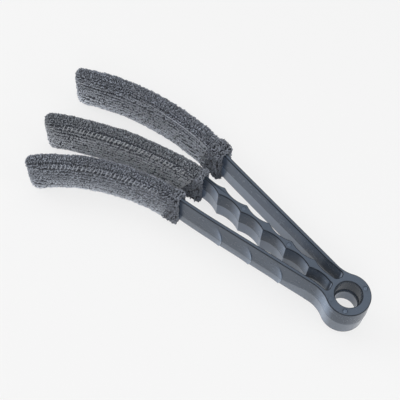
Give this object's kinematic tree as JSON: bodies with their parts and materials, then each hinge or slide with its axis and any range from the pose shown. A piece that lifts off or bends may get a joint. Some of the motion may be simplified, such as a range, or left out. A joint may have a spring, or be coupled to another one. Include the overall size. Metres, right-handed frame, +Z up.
{
  "type": "blind cleaning brush",
  "caption": "Hand brush for window blinds: moulded ring handle with flexing arms and curved blades in removable terry sleeves.",
  "frame": {"origin": "middle of the footprint, on the surface that the sleeves lie on", "axes": "+X from the hanging ring to the blades, +Y towards the left arm, +Z up, with the brush lying flat"},
  "size_m": [0.2474, 0.099, 0.0297],
  "materials": {
    "handle_plastic": "satin",
    "arm_plastic": "satin",
    "terry": "matte",
    "hem": "matte",
    "thread": "matte"
  },
  "bodies": {
    "handle": {"handle": "handle_plastic"},
    "arm_left": {"arm_left": "arm_plastic"},
    "arm_right": {"arm_right": "arm_plastic"},
    "cover_left": {"sleeve_left": "terry", "cuff_left": "hem", "thread_left": "thread"},
    "cover_middle": {"sleeve_middle": "terry", "cuff_middle": "hem", "thread_middle": "thread"},
    "cover_right": {"sleeve_right": "terry", "cuff_right": "hem", "thread_right": "thread"}
  },
  "joints": [
    {"name": "flex_left", "type": "hinge", "parent": "handle", "child": "arm_left", "pos_m": [-0.08964, -0.01125, 0.0143], "axis": [0, 0, 1], "range_deg": [-4.5, 1], "stiffness_Nm_per_rad": 1.6},
    {"name": "flex_right", "type": "hinge", "parent": "handle", "child": "arm_right", "pos_m": [-0.08964, -0.02939, 0.0143], "axis": [0, 0, 1], "range_deg": [-1, 5], "stiffness_Nm_per_rad": 1.6},
    {"name": "pull_left", "type": "hinge", "parent": "arm_left", "child": "cover_left", "pos_m": [-0.00289, 0.13091, 0.0143], "axis": [0, 0, 1], "range_deg": [0, 46]},
    {"name": "pull_middle", "type": "hinge", "parent": "handle", "child": "cover_middle", "pos_m": [-0.01144, 0.19395, 0.0143], "axis": [0, 0, 1], "range_deg": [0, 31]},
    {"name": "pull_right", "type": "hinge", "parent": "arm_right", "child": "cover_right", "pos_m": [0.03635, 0.13214, 0.0143], "axis": [0, 0, 1], "range_deg": [0, 39.5]}
  ]
}
